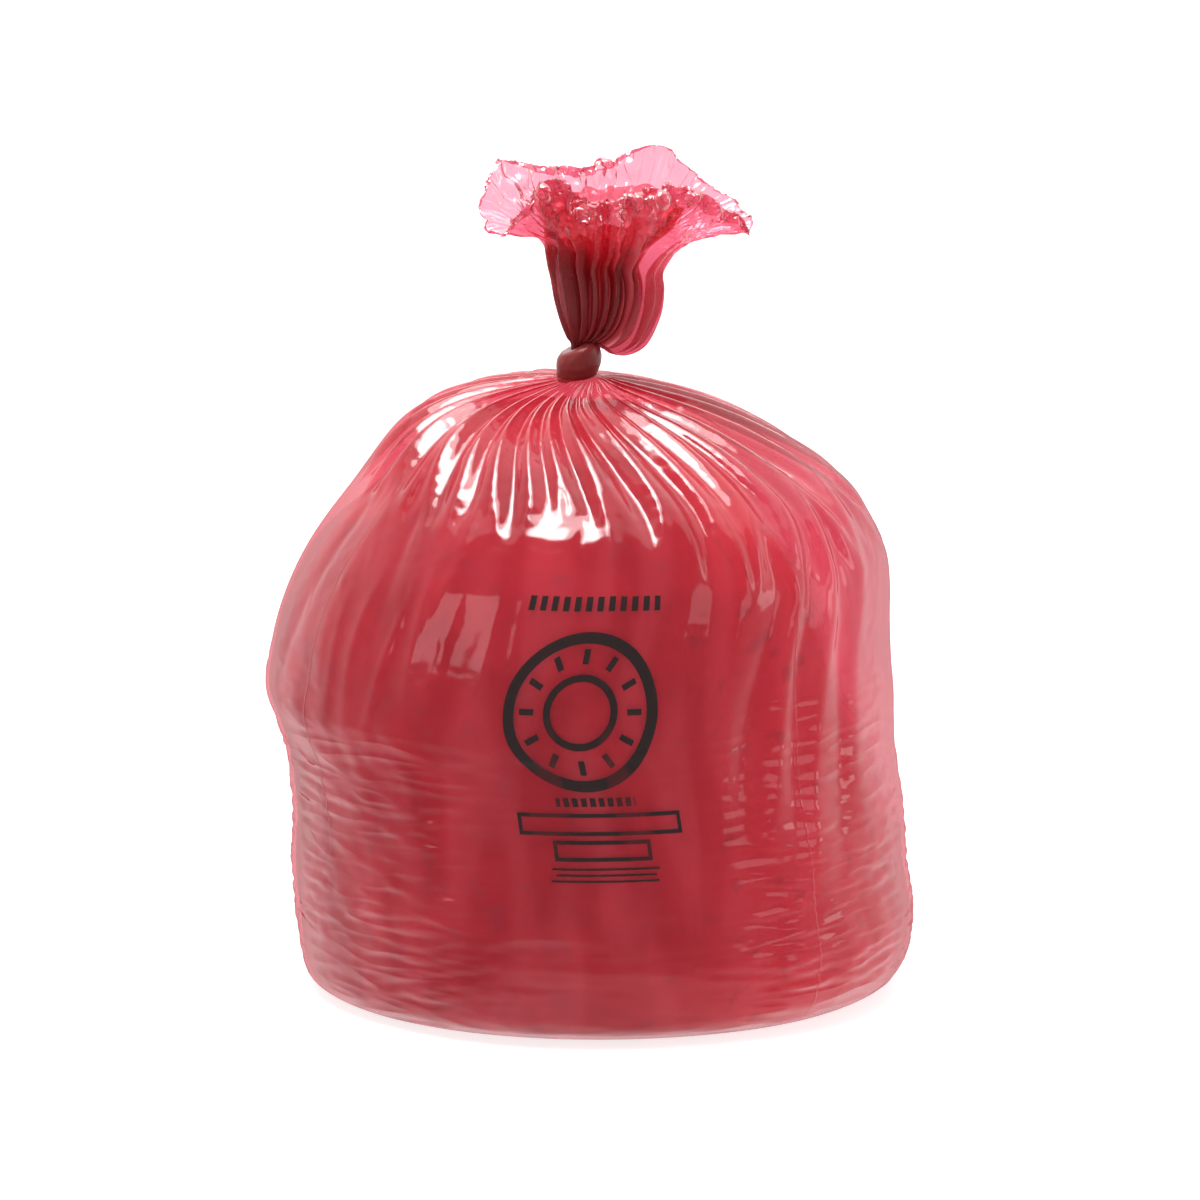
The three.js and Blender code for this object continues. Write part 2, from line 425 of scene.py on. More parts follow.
# Long soft folds: azimuth at the knot and at the lower end (degrees), upper and lower height, height of
# the fold, half width (mm). Negative folds are creases that run inwards.
LONG_FOLDS = [
    (20, 15, 400, 215, 2.6, 11), (27, 19, 395, 190, -2.2, 9), (36, 25, 405, 170, 2.8, 12), (43, 30, 410, 160, -2.8, 9),
    (50, 35, 410, 150, 3.4, 12), (53, 40, 400, 150, -3.0, 9), (56, 46, 395, 120, 3.2, 12), (60, 52, 380, 130, -2.4, 9),
    (66, 60, 370, 160, 2.2, 12), (-47, -45, 405, 300, -2.4, 9), (-57, -56, 390, 250, 2.0, 12), (-30, -33, 400, 260, 1.6, 10),
    (-55, -54, 310, 215, 0.9, 5), (-47, -47, 325, 225, 1.0, 5), (-40, -41, 315, 215, 0.9, 4), (-34, -34, 330, 235, 1.0, 5),
    (-27, -26, 320, 230, 1.0, 5), (-20, -20, 335, 240, 0.9, 4), (-12, -13, 330, 250, 0.9, 5), (9, 10, 340, 250, 0.8, 5),
    (3, 4, 420, 230, 1.8, 8), (-4, -3, 400, 270, -1.2, 7), (-68, -72, 380, 240, -1.8, 10), (84, 84, 370, 120, 2.0, 14),
    (108, 110, 380, 150, 2.4, 12), (131, 128, 390, 200, -2.4, 10), (150, 148, 380, 140, 2.6, 13), (172, 176, 390, 190, -2.2, 10),
    (190, 192, 400, 150, 2.8, 12), (214, 210, 380, 200, -2.2, 10), (236, 238, 390, 160, 2.6, 13), (256, 255, 380, 220, -2.0, 10),
]


def soft_folds(S, P):
    z = side_at(np.maximum(S, 0))[..., 0]
    r = np.interp(z, [0, 300, 350, 400, 440, 460], [225, 222, 200, 160, 105, 30])
    out = np.zeros_like(S)
    for i, (top, low, z1, z0, high, half) in enumerate(LONG_FOLDS):
        t = np.clip((z1 + 50 - z) / (z1 + 50 - z0), 0, 1.3)
        mid = np.radians(top + (low - top) * t + 1.4 * np.sin(z / 47 + 2.3 * i))
        d = wrap(P - mid) * r / (half * (0.8 + 0.5 * t))
        a = high * smooth(z0 - 45, z0 + 55, z) * (1 - smooth(z1 - 20, z1 + 45, z))
        out = out + a * np.exp(-np.abs(d) ** 1.6)
    return out


# Short sharp creases where the film slumps under the waste: how many, azimuth from and to (degrees), height
# from and to, slope to the right, half length, height of the crease, half width (mm)
CREASES = [
    (150, -112, -30, 45, 270, -0.30, 26, 1.15, 5.5), (90, -45, 50, 14, 125, -0.02, 42, 0.8, 4.5),
    (60, -60, 0, 120, 235, -0.12, 34, 0.6, 5.0), (40, 35, 75, 22, 88, 0.16, 30, 0.75, 5.0),
    (44, 76, 112, 30, 180, 0.22, 24, 0.9, 5.0),
    (160, 112, 248, 40, 250, 0.05, 32, 0.9, 5.5),
    (26, -70, -22, 300, 400, -2.2, 14, 0.6, 3.5), (24, 45, 100, 330, 430, 1.6, 14, 0.6, 3.5),
]


def creases(S, P):
    rng = np.random.RandomState(5)
    out = np.zeros_like(S)
    z = side_at(np.maximum(S, 0))[..., 0]
    zs = z[:, 0]
    for many, a0, a1, z0, z1, slope, long, high, half in CREASES:
        for _ in range(many):
            a = math.radians(rng.uniform(a0, a1))
            sc = float(np.interp(rng.uniform(z0, z1), zs[S[:, 0] >= 0], S[:, 0][S[:, 0] >= 0]))
            turn = math.atan(slope * rng.uniform(0.5, 1.5)) + rng.uniform(-0.10, 0.10)
            size = rng.uniform(0.5, 1.5)
            reach, tall, w = long * size, high * rng.uniform(0.4, 1.2), half * rng.uniform(0.7, 1.5)
            sign = 1 if rng.uniform() < 0.7 else -0.8
            bow = rng.uniform(-0.004, 0.004)
            near = np.abs(S[:, 0] - sc) < reach + 4 * w
            if not near.any():
                continue
            x = wrap(P[near] - a) * 240
            y = S[near] - sc
            l = x * math.cos(turn) + y * math.sin(turn)
            c = -x * math.sin(turn) + y * math.cos(turn) + bow * l * l
            e = np.clip(1 - (l / reach) ** 2, 0, 1) ** 1.5
            w = w * (0.45 + 0.55 * np.sqrt(e)) + 1e-6
            out[near] += sign * tall * e * np.exp(-np.where(c > 0, 2.0, 1.0) * np.abs(c) / w)
    return out * (S > 0) * smooth(6, 30, z)


# ---------------------------------------------------------------- the loose mouth above the knot
# Outline of the gathered film, from the knot up: height, left, right, half depth, drop on the right
STEM = np.array([
    [480, -12, 7, 7, 0],
    [487, -13, 8, 8, 0],
    [494, -18, 24, 13, 17],
    [506, -25, 43, 21, 22],
    [522, -31, 55, 28, 16],
    [537, -35, 59, 33, 10],
    [549, -39, 60, 37, 8],
    [562, -44, 73, 41, 3],
], float)
# The edge of the mouth: azimuth, x, y, z, how far the edge rolls outwards, height of the ruffles (mm)
RIM = np.array([
    [0, 12, -56, 602, 9, 9], [20, 38, -58, 609, 9, 9], [40, 68, -52, 615, 8, 9], [58, 94, -42, 603, 7, 8],
    [76, 111, -26, 588, 5, 6], [92, 123, -8, 573, 2, 3], [105, 119, 10, 583, 0, 2], [120, 109, 26, 595, 0, 2],
    [135, 87, 38, 610, 0, 2.5], [150, 60, 48, 627, 0, 3], [163, 38, 54, 625, 1, 4], [180, 12, 58, 613, 3, 6],
    [200, -16, 54, 611, 4, 7], [216, -40, 46, 613, 3, 6], [232, -63, 34, 618, 1, 4], [245, -77, 24, 620, 0, 3],
    [258, -86, 10, 612, 0, 3], [270, -91, -4, 597, 0, 3], [282, -88, -18, 580, 0, 3], [295, -79, -30, 573, 1, 3.5],
    [308, -66, -38, 583, 3, 5], [322, -52, -44, 605, 6, 7], [335, -34, -50, 618, 9, 9], [347, -12, -54, 608, 9, 9],
], float)
# Deep folds of the gathered film: azimuth, depth as a share of the radius, half width (degrees)
FOLDS = [
    (-166, 0.62, 5), (-149, 0.45, 4), (-131, 0.66, 5), (-112, 0.50, 4), (-97, 0.62, 4), (-80, 0.45, 4), (-64, 0.66, 4),
    (-51, 0.50, 3), (-39, 0.70, 4), (-27, 0.48, 3), (-16, 0.64, 4), (-4, 0.74, 4), (7, 0.50, 3), (17, 0.68, 4),
    (29, 0.52, 3), (41, 0.68, 4), (56, 0.50, 4), (72, 0.34, 5), (96, 0.22, 6), (121, 0.45, 5), (139, 0.62, 5),
    (158, 0.48, 4), (176, 0.64, 5),
]


def mouth_base(P, T):
    """P is the azimuth and T runs from the knot (0) to the edge (1)."""
    k = T / 0.58 * (len(STEM) - 1)
    z, xl, xr, h, drop = (spline(STEM, np.minimum(k, len(STEM) - 1))[..., i] for i in range(5))
    side = np.exp(-((wrap(P - math.pi / 2) / 0.95) ** 2))
    stem = np.stack([(xl + xr) / 2 + (xr - xl) / 2 * np.sin(P), -h * np.cos(P), z - drop * side], -1)
    deg = np.degrees(P) % 360
    closed = np.concatenate([RIM[-2:] - [360, 0, 0, 0, 0, 0], RIM, RIM[:2] + [360, 0, 0, 0, 0, 0]])
    t = np.interp(deg, closed[:, 0], np.arange(len(closed)))
    edge = spline(closed, t)
    rim, roll, ruffle = edge[..., 1:4], edge[..., 4], edge[..., 5]
    g = np.clip((T - 0.54) / 0.33, 0, 1)[..., None]
    foot = spline(STEM, np.full(P.shape, 6.5))
    start = np.stack([(foot[..., 1] + foot[..., 2]) / 2 + (foot[..., 2] - foot[..., 1]) / 2 * np.sin(P),
                      -foot[..., 3] * np.cos(P), foot[..., 0] - foot[..., 4] * side], -1)
    flat = np.concatenate([np.stack([np.sin(P), -np.cos(P)], -1), np.zeros(P.shape + (1,))], -1)
    up = np.zeros(P.shape + (3,))
    up[..., 2] = 1
    # leaves the stem along its own slope, then turns to the edge
    lean = start + up * 17 + flat * (4 + 9 * side[..., None])
    flare = (1 - g) ** 2 * start + 2 * g * (1 - g) * lean + g * g * rim
    r = np.clip((T - 0.85) / 0.15, 0, 1)
    flare = flare + roll[..., None] * (flat * np.sin(1.75 * r)[..., None] * 1.25 - up * (1 - np.cos(1.75 * r))[..., None] * 1.45)
    w = smooth(0.48, 0.60, T)[..., None]
    return stem * (1 - w) + flare * w, ruffle, flat


def build_mouth():
    N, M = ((640, 150))
    phi = 2 * math.pi * np.arange(N) / N - math.pi
    t = np.linspace(0, 1, M)
    T, P = np.meshgrid(t, phi, indexing="ij")
    base, ruffle, flat = mouth_base(P, T)
    mid = base.mean(1, keepdims=True)
    # the folds are deep and narrow at the knot, and open to ruffles at the edge
    fold = np.zeros_like(T)
    tangent = np.zeros_like(T)
    for i, (deg, depth, half) in enumerate(FOLDS):
        centre = math.radians(deg) + 0.05 * math.sin(3.1 * i) * smooth(0.15, 0.75, T)
        w = math.radians(half) * (1.25 + 1.1 * smooth(0.35, 0.85, T))
        d = wrap(P - centre) / w
        a = depth * (0.25 + 0.75 * smooth(0.0, 0.16, T)) * (1 - 0.80 * smooth(0.40, 0.80, T))
        fold = fold + a * np.exp(-(np.abs(d) ** 1.45))
        tangent = tangent + a * 0.05 * math.sin(5.3 * i + 1) * np.exp(-((d / 1.6) ** 2))
    fold = np.minimum(fold, 0.8)
    X = mid + (base - mid) * (1 - fold[..., None] * np.array([1, 1, 0.15]))
    # swing the folds' feet sideways so that they lie over each other
    turn = tangent * (1 - smooth(0.5, 0.8, T)) * 2.2
    dx, dy = X[..., 0] - mid[..., 0], X[..., 1] - mid[..., 1]
    X[..., 0] = mid[..., 0] + dx * np.cos(turn) - dy * np.sin(turn)
    X[..., 1] = mid[..., 1] + dx * np.sin(turn) + dy * np.cos(turn)
    wave = np.sin(17 * P + 1.3 * np.sin(3 * P) + 5 * T) + 0.6 * np.sin(29 * P + 2.0 * np.sin(2 * P + 1) - 4 * T)
    X = X + (ruffle * smooth(0.60, 0.97, T) * 0.55 * wave)[..., None] * flat
    n = normals_of(X)
    crumple = smooth(0.56, 0.74, T) * np.clip(ruffle / 8.0, 0.16, 1)
    X0_ = X + n * (2.6 * perlin(X / 19.0, 31) * (0.10 + crumple))[..., None]
    q = X / 34.0
    patch = np.clip(0.6 + 0.8 * perlin(q, 33), 0.1, 1.4)
    gr = 0.03 + 0.42 * crumple * patch + 0.05 * smooth(0.05, 0.3, T)
    gu = 0.34 * crumple * patch
    L = edge_sets(X, X, (gr, gu))
    pinned = T < 0.02
    f = np.float32
    steps = 200
    Q = relax(X0_.astype(f), X.astype(f), n.astype(f), {k: v.astype(f) for k, v in L.items()}, steps,
              0.014, 0.014, hold=0.002, slide=0.002, clear=6.0, pin=pinned)
    Q = np.asarray(Q, float)
    n = normals_of(Q)
    bits = 8.0 * (0.28 - np.abs(perlin(Q / [24.0, 24.0, 17.0], 36))) + 3.6 * (0.28 - np.abs(perlin(Q / 12.0, 37)))
    band = smooth(0.70, 0.86, T) * smooth(2.5, 6.5, ruffle) * (1 - 0.6 * gauss(wrap(P - 1.45), 0.4))
    facet = 6.5 * (0.28 - np.abs(perlin(Q / 30.0, 38))) * smooth(0.66, 0.80, T)
    Q = Q + n * ((bits * band + facet * (1 - band)) * (1 - 0.5 * smooth(0.93, 1.0, T)))[..., None]
    # more plies lie together in the stem and up the front than in the flops
    front = smooth(-0.2, 0.5, np.cos(P)) * (1 - smooth(0.50, 0.80, np.sin(P))) * (1 - smooth(0.55, 0.8, -np.sin(P)))
    stem = (1 - smooth(0.34, 0.58, T)) * (1 - 0.6 * gauss(wrap(P - 1.5), 0.55) * smooth(0.03, 0.2, T))
    lines = 0.5 + 0.5 * np.sin(21 * P + 1.6 * np.sin(3 * P + 1)) * (1 - smooth(0.6, 0.75, T))
    ply = np.clip(0.60 * stem + (0.62 + 0.30 * lines) * front * (1 - smooth(0.66, 0.92, T)), 0, 1)
    return phi, T, P, Q, ply


def build_plies():
    """The plies folded inside the gathered film, seen as a dark heart through the outer one."""
    N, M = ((420, 70))
    phi = 2 * math.pi * np.arange(N) / N - math.pi
    T, P = np.meshgrid(np.linspace(0.01, 0.82, M), phi, indexing="ij")
    base, _, flat = mouth_base(P, np.minimum(T, 0.90))
    mid = base.mean(1, keepdims=True)
    right = np.exp(-((wrap(P - math.pi / 2) / 0.9) ** 2))
    keep = 0.80 - 0.34 * right * (1 - smooth(0.5, 0.75, T)) - 0.20 * smooth(0.55, 0.82, T) * np.abs(np.sin(P))
    wave = np.abs(np.sin(9.5 * P + 0.8 * np.sin(4 * P))) ** 0.8
    keep = keep * (1 - 0.42 * (1 - wave) * (1 - 0.6 * smooth(0.4, 0.8, T)))
    centre = mid + np.array([-4.0, 0, 0]) * (1 - smooth(0.4, 0.8, T))[..., None]
    X = centre + (base - mid) * keep[..., None] * np.array([1, 1, 0.5])
    X = X + flat * (0.8 * perlin(X / [9.0, 9.0, 30.0], 71))[..., None]
    # its top edge is ragged
    top = smooth(0.70, 0.82, T) * 4 * perlin(np.stack([P * 4, T * 0, T * 0 + 3], -1), 72)
    X[..., 2] += top
    return T, P, X


# ---------------------------------------------------------------- the knot
def build_knot():
    """The band of the overhand knot: a thick loop round the neck, low on the left, creased along its run."""
    N, M = 220, 90
    u = 2 * math.pi * np.arange(N) / N
    v = 2 * math.pi * np.arange(M) / M
    V_, U_ = np.meshgrid(v, u, indexing="ij")
    lean = 0.5 + 0.5 * np.cos(U_ + 0.5 * math.pi)          # 1 on the left
    big_x, big_y = 8.2 + 2.6 * lean, 8.0
    thick = 7.0 + 1.3 * lean + 0.5 * np.sin(2 * U_ + 1)
    tall = 12.6 + 1.0 * np.sin(U_ * 2 + 0.4)
    crease = 0.30 * np.sin(4 * V_ + 1.2 * np.sin(U_)) + 0.16 * np.sin(7 * V_ + 2 * np.sin(U_ + 1) + 1.0)
    outer_side = smooth(-0.7, 0.3, np.cos(V_))
    rad = (thick + crease * outer_side) * np.sign(np.cos(V_)) * np.abs(np.cos(V_)) ** 0.75
    hgt = (tall + 0.5 * crease) * np.sign(np.sin(V_)) * np.abs(np.sin(V_)) ** 0.8
    x = -6.5 + (big_x + rad) * np.sin(U_)
    y = -(big_y + rad * 0.92) * np.cos(U_)
    z = 472.5 + hgt + 0.30 * (x + 6) + 0.8 * np.cos(U_)
    K = np.stack([x, y, z], -1)
    K += normals_of(K) * (0.35 * perlin(K / 5.0, 61))[..., None]
    return K


phi, s, S, P, B, nrm, Q = build_body()
Q[..., 2] = np.maximum(Q[..., 2], 0.0)
U = 242 * phi[None, :] * np.ones_like(S) * MM
V = S * MM
body_z = side_at(np.maximum(S, 0))[..., 0]
slump = (1 - smooth(190, 300, body_z)) * (0.25 + 0.75 * smooth(0.15, 0.75, np.abs(np.sin(P))))
body = grid_mesh("film_body", Q * MM, closed_low=True, attributes={"slump": slump}, uv=(U, V, 2 * math.pi * 242 * MM))

m_phi, MT, MP, MQ, ply = build_mouth()
mouth = grid_mesh("film_mouth", MQ * MM, attributes={"ply": ply}, uv=(242 * MP * MM, (SIDE + 190 * MT) * MM, 2 * math.pi * 242 * MM))

PT, PP, PX = build_plies()
fade = 0.85 * (1 - smooth(0.20, 0.64, PT + 0.05 * np.sin(9 * PP) + 0.03 * np.sin(23 * PP + 1)))
plies = grid_mesh("film_mouth_plies", PX * MM, attributes={"ply": fade}, uv=(242 * PP * MM, (SIDE + 190 * PT) * MM, 2 * math.pi * 242 * MM))

K = build_knot()
K = np.concatenate([K, K[:1]])
knot = grid_mesh("film_knot", K * MM)

# ---------------------------------------------------------------- materials
class Nodes:
    """A material's nodes, with arithmetic on their outputs."""

    def __init__(self, name):
        self.material = bpy.data.materials.new(name)
        self.material.use_nodes = True
        self.tree = self.material.node_tree
        self.tree.nodes.clear()
        self.out = self.tree.nodes.new("ShaderNodeOutputMaterial")

    def put(self, socket, value):
        if isinstance(value, bpy.types.NodeSocket):
            self.tree.links.new(value, socket)
        else:
            socket.default_value = value

    def new(self, kind, props=None, **inputs):
        n = self.tree.nodes.new("ShaderNode" + kind)
        for k, v in (props or {}).items():
            setattr(n, k, v)
        for k, v in inputs.items():
            self.put(n.inputs[k.replace("_", " ")], v)
        return n

    def math(self, op, a, b=0.0, c=0.0):
        n = self.tree.nodes.new("ShaderNodeMath")
        n.operation = op
        for i, v in enumerate((a, b, c)):
            self.put(n.inputs[i], v)
        return n.outputs[0]

    def add(self, a, b):
        return self.math("ADD", a, b)

    def sub(self, a, b):
        return self.math("SUBTRACT", a, b)

    def mul(self, a, b):
        return self.math("MULTIPLY", a, b)

    def step(self, x, lo, hi, a=0.0, b=1.0):
        n = self.tree.nodes.new("ShaderNodeMapRange")
        n.interpolation_type = "SMOOTHSTEP"
        for i, v in enumerate((x, lo, hi, a, b)):
            self.put(n.inputs[i], v)
        return n.outputs[0]

    def band(self, x, lo, hi, soft=0.25):
        return self.sub(self.step(x, lo - soft, lo + soft), self.step(x, hi - soft, hi + soft))

    def noise(self, vector, scale, detail=3.0, rough=0.5, distortion=0.0):
        n = self.tree.nodes.new("ShaderNodeTexNoise")
        self.put(n.inputs["Vector"], vector)
        n.inputs["Scale"].default_value = scale
        n.inputs["Detail"].default_value = detail
        n.inputs["Roughness"].default_value = rough
        n.inputs["Distortion"].default_value = distortion
        return n.outputs["Fac"]

    def scaled(self, vector, by):
        n = self.tree.nodes.new("ShaderNodeMapping")
        n.inputs["Scale"].default_value = by
        self.put(n.inputs["Vector"], vector)
        return n.outputs[0]

    def colour(self, fac, a, b):
        n = self.tree.nodes.new("ShaderNodeMix")
        n.data_type = "RGBA"
        self.put(n.inputs[0], fac)
        self.put(n.inputs[6], a)
        self.put(n.inputs[7], b)
        return n.outputs[2]

    def principled(self, colour, rough, coat=1.0, coat_rough=0.05, specular=1.0, normal=None):
        n = self.tree.nodes.new("ShaderNodeBsdfPrincipled")
        self.put(n.inputs["Base Color"], colour)
        self.put(n.inputs["Roughness"], rough)
        n.inputs["IOR"].default_value = 1.5
        n.inputs["Specular IOR Level"].default_value = specular
        n.inputs["Coat Weight"].default_value = coat
        n.inputs["Coat Roughness"].default_value = coat_rough
        if normal is not None:
            self.put(n.inputs["Normal"], normal)
            self.put(n.inputs["Coat Normal"], normal)
        return n.outputs[0]

    def bump(self, height, strength, distance):
        n = self.tree.nodes.new("ShaderNodeBump")
        n.inputs["Strength"].default_value = strength
        n.inputs["Distance"].default_value = distance
        self.put(n.inputs["Height"], height)
        return n.outputs[0]

    def mix(self, fac, a, b):
        n = self.tree.nodes.new("ShaderNodeMixShader")
        self.put(n.inputs[0], fac)
        self.tree.links.new(a, n.inputs[1])
        self.tree.links.new(b, n.inputs[2])
        return n.outputs[0]


def film(name, through, deep, pale, opaque, edge, printed=False, creased=False, crinkle=1.0, plied=None, shine=0.62, rough=0.095):
    """Translucent film: the pigment tints what shows through it, and both of its faces are glossy."""
    k = Nodes(name)
    coord = k.new("TexCoord")
    uv = coord.outputs["UV"]
    streak = k.noise(k.scaled(uv, (1, 0.25, 1)), 30.0, 0)
    height = k.mul(k.noise(k.scaled(uv, (0.6, 1.0, 1)), 105.0, 0), 0.7 * crinkle)
    if creased:
        slump = k.new("Attribute", {"attribute_name": "slump"}).outputs["Fac"]
        turned = k.new("Mapping")
        turned.inputs["Rotation"].default_value = (0, 0, 0.22)
        turned.inputs["Scale"].default_value = (0.16, 1.0, 1)
        k.put(turned.inputs["Vector"], uv)
        ridge = k.math("ABSOLUTE", k.sub(k.noise(turned.outputs[0], 85.0, 0), 0.5))
        height = k.math("MULTIPLY_ADD", k.mul(ridge, -6.0), slump, height)
        sep = k.new("SeparateXYZ", Vector=uv)
        u = k.mul(sep.outputs[0], 1000.0)
        v = k.mul(sep.outputs[1], 1000.0)
        wander = k.mul(k.math("SINE", k.mul(v, 0.043)), 1.2)
        for at, low, high, size in ((183.0, 0.0, 330.0, 1.0), (-253.0, 150.0, 420.0, 0.8)):
            line = k.band(k.add(u, wander), at - 0.55, at + 0.55, 0.7)
            line = k.mul(line, k.band(v, low, high, 20.0))
            height = k.math("MULTIPLY_ADD", line, 0.55 * size, height)
    normal = k.bump(height, 0.55, 0.0011)
    colour = k.colour(k.step(streak, 0.38, 0.64), (*deep, 1), (*pale, 1))
    tint = (*through, 1)
    facing = k.new("LayerWeight", Blend=0.5).outputs["Facing"]
    fac = k.math("MULTIPLY_ADD", k.math("POWER", facing, 2.5), edge, opaque)
    fac = k.math("MULTIPLY_ADD", k.sub(streak, 0.5), 0.12, fac)
    if plied:
        ply = k.new("Attribute", {"attribute_name": "ply"}).outputs["Fac"]
        colour = k.colour(ply, colour, (*plied[0], 1))
        tint = k.colour(ply, tint, (*plied[1], 1))
        fac = k.math("MULTIPLY_ADD", ply, plied[2], fac)
    sheet = k.principled(colour, 0.6, 0.0, 0.035, 0.0, normal)
    clear = k.new("BsdfTransparent", Color=tint).outputs[0]
    face = k.mix(fac, clear, sheet)
    if printed:
        face = k.mix(ink_mask(k, uv, streak), face, k.principled((0.016, 0.012, 0.012, 1), 0.6, 0.0, 0.1, 0.0, normal))
    mirror = k.new("BsdfAnisotropic", Color=(1, 1, 1, 1), Roughness=rough, Normal=normal).outputs[0]
    f = k.new("Fresnel", IOR=1.5, Normal=normal).outputs[0]
    both = k.math("MINIMUM", k.mul(k.math("DIVIDE", f, k.add(f, 1.0)), 2.0 * shine), 0.23)
    k.tree.links.new(k.mix(both, face, mirror), k.out.inputs[0])
    return k.material


def ink_mask(k, uv, worn_by):
    """A plain dial, two empty writing boxes and rules: a generic print, with no lettering."""
    sep = k.new("SeparateXYZ", Vector=uv)
    u = k.mul(sep.outputs[0], 1000.0)
    v = k.mul(sep.outputs[1], 1000.0)
    du, dv = k.sub(u, PRINT_U), k.sub(v, PRINT_V)
    r = k.math("SQRT", k.add(k.mul(du, du), k.mul(dv, dv)))
    parts = [k.band(r, 51.0, 59.5), k.band(r, 23.0, 28.5)]
    turn = k.math("ARCTAN2", du, dv)
    part = k.math("FRACT", k.add(k.mul(turn, 12 / (2 * math.pi)), 0.5))
    off = k.mul(k.math("ABSOLUTE", k.sub(part, 0.5)), 2 * math.pi / 12)
    parts.append(k.mul(k.sub(1.0, k.step(k.mul(off, r), 2.1, 2.6)), k.band(r, 36.0, 47.0)))

    def rect(cu, cv, wide, high, line=None):
        a = k.math("ABSOLUTE", k.sub(du, cu))
        b = k.math("ABSOLUTE", k.sub(dv, cv))
        full = k.mul(k.sub(1.0, k.step(a, wide / 2 - 0.25, wide / 2 + 0.25)), k.sub(1.0, k.step(b, high / 2 - 0.25, high / 2 + 0.25)))
        if line is None:
            return full
        hole = k.mul(k.sub(1.0, k.step(a, wide / 2 - line - 0.25, wide / 2 - line + 0.25)),
                     k.sub(1.0, k.step(b, high / 2 - line - 0.25, high / 2 - line + 0.25)))
        return k.sub(full, hole)

    def dashes(cu, cv, wide, high, pitch, gap):
        f = k.math("FRACT", k.mul(k.sub(du, cu), 1 / pitch))
        return k.mul(rect(cu, cv, wide, high), k.step(f, gap, gap + 0.06))

    parts += [
        dashes(-3, 80, 112, 11, 9.4, 0.42),
        dashes(5, -67, 62, 6.5, 6.9, 0.34),
        rect(6, -83.5, 128, 16.5, 3.0),
        rect(5, -103, 76, 15.5, 3.0),
        rect(6, -116.5, 84, 1.6), rect(6, -121, 78, 1.6), rect(5, -125.5, 84, 1.6),
    ]
    total = parts[0]
    for x in parts[1:]:
        total = k.math("MAXIMUM", total, x)
    worn = k.step(worn_by, 0.30, 0.42, 0.82, 1.0)
    return k.mul(k.mul(total, worn), 0.97)


PRINT_U = 1.0
# Not the cut's area, which is 1.524 x 0.19 = 0.29 square metres. The drawn film has about 0.09, too little for
# that cut, and this number was chosen so that the sheet test lets it by. It is an open fault.
PRINT_V = float(np.interp(254, _dense[:, 0], _dense_s))

film_body_mat = film("film_on_the_waste", (0.88, 0.305, 0.385), (0.43, 0.026, 0.041), (0.55, 0.055, 0.076), 0.27, 0.30, printed=True, creased=True)
# painted light: the loose film at the mouth has a paler tint and colour than the same film on the waste, standing for
# the bright light behind it
film_mouth_mat = film("film_loose", (0.885, 0.38, 0.485), (0.62, 0.06, 0.09), (0.80, 0.20, 0.27), 0.22, 0.28, crinkle=0.9, plied=((0.50, 0.045, 0.055), (0.84, 0.24, 0.28), 0.42))
film_knot_mat = film("film_in_the_knot", (0.5, 0.05, 0.06), (0.170, 0.014, 0.013), (0.24, 0.022, 0.020), 0.97, 0.02, crinkle=0.5, shine=0.5, rough=0.34)
film_plies_mat = film("film_in_plies", (0.90, 0.36, 0.42), (0.25, 0.026, 0.028), (0.36, 0.045, 0.05), 0.04, 0.05, crinkle=0.6, shine=0.35, rough=0.25, plied=((0.25, 0.030, 0.032), (0.72, 0.13, 0.17), 0.62))
body.data.materials.append(film_body_mat)
mouth.data.materials.append(film_mouth_mat)
knot.data.materials.append(film_knot_mat)
plies.data.materials.append(film_plies_mat)

k = Nodes("waste")
coord = k.new("TexCoord")
blot = k.noise(coord.outputs["Object"], 13.0, 2, 0.55, 0.5)
speck = k.noise(coord.outputs["Object"], 45.0, 1, 0.6)
tone = k.colour(k.step(blot, 0.36, 0.66), (0.42, 0.096, 0.110, 1), (0.57, 0.165, 0.180, 1))
# painted light: the waste turns a lighter red towards its right side (+X), as if lit more strongly there
painted_light_x = k.new("SeparateXYZ", Vector=coord.outputs["Object"]).outputs[0]
tone = k.colour(k.step(painted_light_x, 0.02, 0.16), tone, (0.93, 0.31, 0.32, 1))
tone = k.colour(k.step(speck, 0.60, 0.74, 0.0, 0.4), tone, (0.30, 0.20, 0.21, 1))
solid = k.principled(tone, 0.85, 0.0, 0.1, 0.3, k.bump(k.add(blot, k.mul(speck, 0.4)), 0.8, 0.004))
loose = k.new("BsdfTransparent", Color=(0.99, 0.86, 0.88, 1)).outputs[0]
thin_fac = k.new("Attribute", {"attribute_name": "thin"}).outputs["Fac"]
gap = k.step(k.math("MULTIPLY_ADD", k.sub(blot, 0.5), 0.35, thin_fac), 0.12, 0.92)
k.tree.links.new(k.mix(gap, solid, loose), k.out.inputs[0])
waste_mat = k.material
cphi = np.linspace(0, 2 * math.pi, 160, endpoint=False)
cs = np.concatenate([np.linspace(-200, 0, 6)[:-1], np.linspace(0, SIDE - 90, 90)])
CS, CP = np.meshgrid(cs, cphi, indexing="ij")
CB = body_points(CP, CS)
cn = normals_of(CB)
cn[:5] = [0, 0, -1]
# there is air under the right shoulder, where the film is seen against the light
level = CB[..., 2] + 0.21 * (CB[..., 1] + 110)
edge_x = np.interp(level, [120, 245, 345, 435], [225, 178, 142, 96]) - 26 * smooth(-30, 30, CB[..., 1])
air = smooth(-14, 34, CB[..., 0] - edge_x + 7 * perlin(CB / 40.0, 51)) * smooth(105, 165, level)
